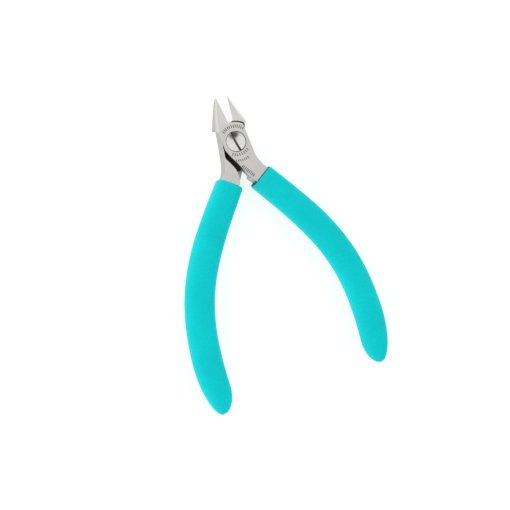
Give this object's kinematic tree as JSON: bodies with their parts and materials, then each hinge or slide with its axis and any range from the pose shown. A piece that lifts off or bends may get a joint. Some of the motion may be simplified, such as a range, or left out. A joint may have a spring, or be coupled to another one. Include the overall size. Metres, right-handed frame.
{
  "type": "diagonal cutting pliers",
  "caption": "Small spring-opened diagonal cutter: two lapped steel levers on a slotted pivot screw, with cushion grips.",
  "frame": {"origin": "where the pivot axis meets the flat back of the joint", "axes": "+Z along the pivot axis, towards the screw's slotted head; +Y along the tool, towards the jaws"},
  "size_m": [0.0758, 0.112, 0.0094],
  "materials": {
    "ground_steel": "satin ground tool steel",
    "screw_steel": "turned and polished steel",
    "spring_steel": "oiled spring wire",
    "cushion_foam": "matt turquoise cushion foam with a fine pebble"
  },
  "bodies": {
    "rear_half": {"rear_lever": "ground_steel", "rear_grip": "cushion_foam", "pivot_screw": "screw_steel", "return_spring": "spring_steel"},
    "front_half": {"front_lever": "ground_steel", "front_grip": "cushion_foam"}
  },
  "joints": [
    {"name": "pivot", "type": "hinge", "parent": "rear_half", "child": "front_half", "pos_m": [0, 0, 0.003], "axis": [0, 0, 1], "range_deg": [-13.2, 0], "stiffness_Nm_per_rad": 0.22, "springref_deg": 28.65, "deforming": ["return_spring"]}
  ]
}
